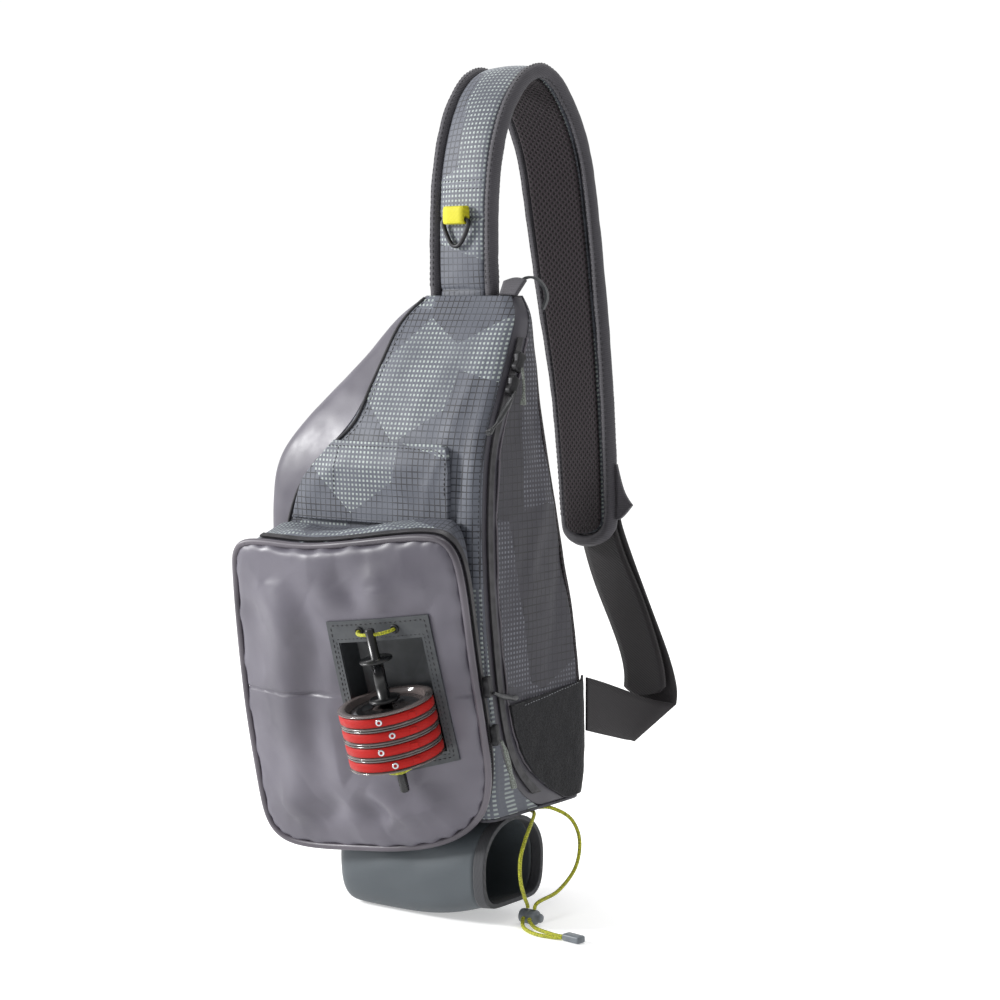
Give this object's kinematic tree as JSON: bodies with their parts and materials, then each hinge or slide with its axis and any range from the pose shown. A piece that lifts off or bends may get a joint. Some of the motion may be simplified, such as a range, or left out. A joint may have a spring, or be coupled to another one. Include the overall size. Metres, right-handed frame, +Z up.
{
  "type": "fishing sling bag",
  "caption": "Teardrop fishing sling bag with a boxy front pocket, a tippet spool station, a bottle sleeve with a drawcord underneath and one padded shoulder strap.",
  "frame": {"origin": "middle of the flat underside of the bottle sleeve, on the floor", "axes": "+Z up, the front pocket faces -Y, the open mouth of the sleeve and the main zip face +X"},
  "size_m": [0.2398, 0.2648, 0.5571],
  "materials": {
    "ripstop": "coated grid ripstop",
    "dark_ripstop": "dark grid ripstop",
    "satin": "smooth coated twill",
    "spacer_mesh": "knitted spacer mesh",
    "binding_tape": "woven binding",
    "zip_tape": "laminated zip tape",
    "zip_coil": "nylon coil",
    "loop_pile": "brushed loop pile",
    "coated_sheet": "matte moulded sheet",
    "neon_cord": "braided cord and tape",
    "black_plastic": "moulded",
    "grey_plastic": "moulded",
    "clear_plastic": "smoked clear",
    "red_band": "woven elastic",
    "dark_webbing": "fine twill webbing",
    "sleeve_cloth": "plain coated cloth",
    "grey_webbing": "narrow webbing",
    "dark_metal": "dark plated",
    "pull_cord": "braided cord with shrunk tubes"
  },
  "bodies": {
    "bag": {"bottle_sleeve": "sleeve_cloth", "sleeve_binding": "binding_tape", "front_panel": "ripstop", "right_gusset": "dark_ripstop", "back_panel": "spacer_mesh", "left_panel": "satin", "bottom_panel": "dark_ripstop", "main_zip_tape": "zip_tape", "main_zip_chain": "zip_coil", "fly_patch": "loop_pile", "upper_flap": "ripstop", "front_pocket": "satin", "pocket_piping": "binding_tape", "pocket_zip_band": "satin", "pocket_zip_chain": "zip_coil", "tippet_frame": "coated_sheet", "tippet_tray": "coated_sheet", "tippet_bar": "black_plastic", "eyelet_1": "black_plastic", "eyelet_2": "black_plastic", "eyelet_3": "black_plastic", "eyelet_4": "black_plastic", "loop_top": "neon_cord", "loop_bottom": "neon_cord", "zip_slider_1": "dark_metal", "zip_slider_2": "dark_metal", "zip_slider_3": "dark_metal", "zip_slider_4": "dark_metal", "zip_pull_1": "pull_cord", "zip_pull_2": "pull_cord", "zip_pull_3": "pull_cord", "zip_pull_4": "pull_cord", "zip_garage": "binding_tape", "haul_loop": "grey_webbing", "strap_pad": "ripstop", "strap_lining": "spacer_mesh", "strap_binding": "binding_tape", "ring_tab": "neon_cord", "ladder_lock": "black_plastic", "lock_tab": "dark_webbing", "strap_wing": "ripstop", "webbing": "dark_webbing", "webbing_tail": "dark_webbing", "drawcord_front": "neon_cord", "drawcord_back": "neon_cord", "cord_lock": "grey_plastic", "cord_tail_1": "neon_cord", "cord_tail_2": "neon_cord", "cord_end": "grey_plastic"},
    "ring": {"d_ring": "dark_metal"},
    "tippet_1": {"spool_1": "clear_plastic", "spool_band_1": "red_band"},
    "tippet_2": {"spool_2": "clear_plastic", "spool_band_2": "red_band"},
    "tippet_3": {"spool_3": "clear_plastic", "spool_band_3": "red_band"},
    "tippet_4": {"spool_4": "clear_plastic", "spool_band_4": "red_band"}
  },
  "joints": [
    {"name": "ring_swing", "type": "hinge", "parent": "bag", "child": "ring", "pos_m": [0.01954, 0.00965, 0.45255], "axis": [0.9925, -0.1218, 0.0019], "range_deg": [-110, 0]},
    {"name": "tippet_1_spin", "type": "hinge", "parent": "bag", "child": "tippet_1", "pos_m": [0.03252, -0.0827, 0.15348], "axis": [-0.0975, -0.2081, 0.9732], "continuous": true},
    {"name": "tippet_2_spin", "type": "hinge", "parent": "bag", "child": "tippet_2", "pos_m": [0.03252, -0.0827, 0.15348], "axis": [-0.0975, -0.2081, 0.9732], "continuous": true},
    {"name": "tippet_3_spin", "type": "hinge", "parent": "bag", "child": "tippet_3", "pos_m": [0.03252, -0.0827, 0.15348], "axis": [-0.0975, -0.2081, 0.9732], "continuous": true},
    {"name": "tippet_4_spin", "type": "hinge", "parent": "bag", "child": "tippet_4", "pos_m": [0.03252, -0.0827, 0.15348], "axis": [-0.0975, -0.2081, 0.9732], "continuous": true}
  ]
}
